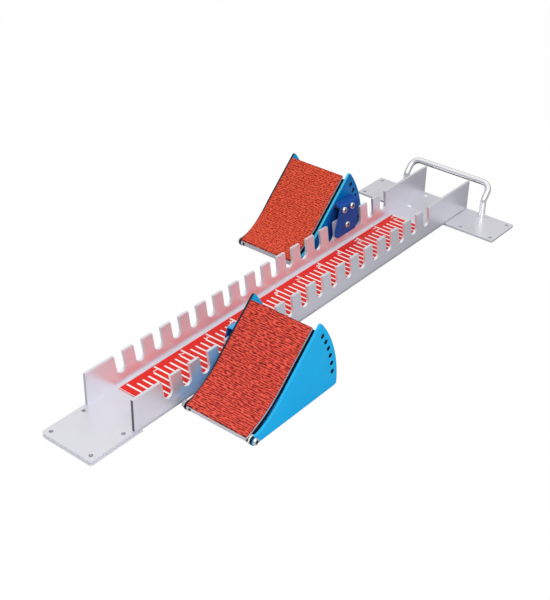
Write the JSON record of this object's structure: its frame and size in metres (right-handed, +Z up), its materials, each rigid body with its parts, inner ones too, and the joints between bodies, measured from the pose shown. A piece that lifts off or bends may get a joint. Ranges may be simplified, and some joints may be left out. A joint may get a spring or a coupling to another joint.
{
  "type": "starting blocks",
  "caption": "Athletics starting blocks: slotted aluminium rail with a printed scale, a carrying handle and two tilting red pedals that hang in its slots.",
  "frame": {"origin": "on the ground, below the middle of the bounding box", "axes": "+X runs rearward along the rail to the carrying handle, +Y to the side of the rear pedal, +Z up"},
  "size_m": [0.879, 0.343, 0.1144],
  "materials": {
    "aluminium": "satin",
    "bright_steel": "bright",
    "black_steel": "satin",
    "blue_enamel": "gloss",
    "navy_enamel": "gloss",
    "dark_enamel": "satin",
    "red_rubber": "coarse grain",
    "scale_vinyl": "printed",
    "nylon": "matte"
  },
  "bodies": {
    "rail": {"rail_channel": "aluminium", "front_foot_plate": "aluminium", "rear_cross_plate": "aluminium", "cross_plate_rivet_1": "bright_steel", "cross_plate_rivet_2": "bright_steel", "cross_plate_rivet_3": "bright_steel", "cross_plate_rivet_4": "bright_steel", "scale_strip": "scale_vinyl", "carrying_handle": "aluminium", "handle_screw_1": "bright_steel", "handle_screw_2": "bright_steel"},
    "near_pedal": {"near_inner_side_plate": "blue_enamel", "near_outer_side_plate": "blue_enamel", "near_base_plate": "blue_enamel", "near_slot_bracket": "navy_enamel", "near_slot_key": "black_steel", "near_bracket_spacer_1": "black_steel", "near_bracket_spacer_2": "black_steel", "near_bracket_screw_1": "bright_steel", "near_bracket_screw_2": "bright_steel", "near_bracket_screw_3": "bright_steel", "near_pivot_bolt": "bright_steel", "near_pivot_nut": "bright_steel", "near_pivot_washer_1": "nylon", "near_pivot_washer_2": "nylon"},
    "near_pad": {"near_pad_pivot_tube": "aluminium", "near_pad_inner_rib": "dark_enamel", "near_pad_outer_rib": "dark_enamel", "near_pad_backing": "aluminium", "near_rubber_pad": "red_rubber"},
    "near_rod": {"near_support_rod": "black_steel"},
    "far_pedal": {"far_inner_side_plate": "blue_enamel", "far_outer_side_plate": "blue_enamel", "far_base_plate": "blue_enamel", "far_slot_bracket": "navy_enamel", "far_slot_key": "black_steel", "far_bracket_spacer_1": "black_steel", "far_bracket_spacer_2": "black_steel", "far_bracket_screw_1": "bright_steel", "far_bracket_screw_2": "bright_steel", "far_bracket_screw_3": "bright_steel", "far_pivot_bolt": "bright_steel", "far_pivot_nut": "bright_steel", "far_pivot_washer_1": "nylon", "far_pivot_washer_2": "nylon"},
    "far_pad": {"far_pad_pivot_tube": "aluminium", "far_pad_inner_rib": "dark_enamel", "far_pad_outer_rib": "dark_enamel", "far_pad_backing": "aluminium", "far_rubber_pad": "red_rubber"},
    "far_rod": {"far_support_rod": "black_steel"}
  },
  "joints": [
    {"name": "near_pedal_lift", "type": "slide", "parent": "rail", "child": "near_pedal", "axis": [-0.1644, 0, 0.9864], "range_m": [0, 0.05]},
    {"name": "near_pad_tilt", "type": "hinge", "parent": "near_pedal", "child": "near_pad", "pos_m": [-0.282, 0, 0.007], "axis": [0, -1, 0], "range_deg": [0, 70]},
    {"name": "near_rod_slide", "type": "slide", "parent": "near_pedal", "child": "near_rod", "axis": [0, -1, 0], "range_m": [0, 0.12]},
    {"name": "far_pedal_lift", "type": "slide", "parent": "rail", "child": "far_pedal", "axis": [-0.1644, 0, 0.9864], "range_m": [0, 0.05]},
    {"name": "far_pad_tilt", "type": "hinge", "parent": "far_pedal", "child": "far_pad", "pos_m": [0.0855, 0, 0.007], "axis": [0, -1, 0], "range_deg": [0, 70]},
    {"name": "far_rod_slide", "type": "slide", "parent": "far_pedal", "child": "far_rod", "axis": [0, 1, 0], "range_m": [0, 0.12]}
  ]
}
